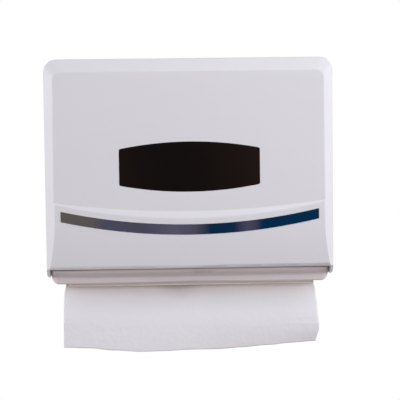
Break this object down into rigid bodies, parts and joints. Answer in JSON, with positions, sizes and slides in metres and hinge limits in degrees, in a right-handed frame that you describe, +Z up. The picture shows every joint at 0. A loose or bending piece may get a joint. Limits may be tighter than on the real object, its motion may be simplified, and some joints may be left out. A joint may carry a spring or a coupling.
{
  "type": "folded paper towel dispenser",
  "caption": "Wall-hung dispenser for folded paper hand towels: a hinged white cover with a smoked window and a curved trim strip, a cam lock on top and a tray with an open mouth below.",
  "frame": {"origin": "centre of the flat back face, against the wall, at mid-width", "axes": "+X to the viewer's right as seen from the front, +Y out of the back face into the wall, +Z up"},
  "size_m": [0.27, 0.1003, 0.2705],
  "materials": {
    "shell": "satin",
    "base": "matte",
    "lens": "polished",
    "trim": "polished",
    "lock": "polished",
    "steel": "plated",
    "paper": "matte"
  },
  "bodies": {
    "base": {"back_plate": "base", "towel_tray": "base", "tray_screws": "steel", "right_towel_guide": "base", "left_towel_guide": "base", "guide_screws": "steel", "strike_bracket": "steel", "strike_screws": "steel", "right_hinge_pin": "steel", "left_hinge_pin": "steel", "towel_stack": "paper", "hanging_towel": "paper"},
    "cover": {"front_cover": "shell", "window_lens": "lens", "lens_retainers": "steel", "trim_strip": "trim", "strip_push_nuts": "steel", "lock_housing": "lock", "lock_washer": "steel", "lock_nut": "steel"},
    "lock": {"lock_plug": "lock", "lock_cam": "steel", "cam_screw": "steel"}
  },
  "joints": [
    {"name": "cover_hinge", "type": "hinge", "parent": "base", "child": "cover", "pos_m": [0, -0.0865, -0.086], "axis": [1, 0, 0], "range_deg": [0, 90]},
    {"name": "lock_turn", "type": "hinge", "parent": "cover", "child": "lock", "pos_m": [0, -0.042, 0.1], "axis": [0, 0, 1], "range_deg": [0, 90]}
  ]
}
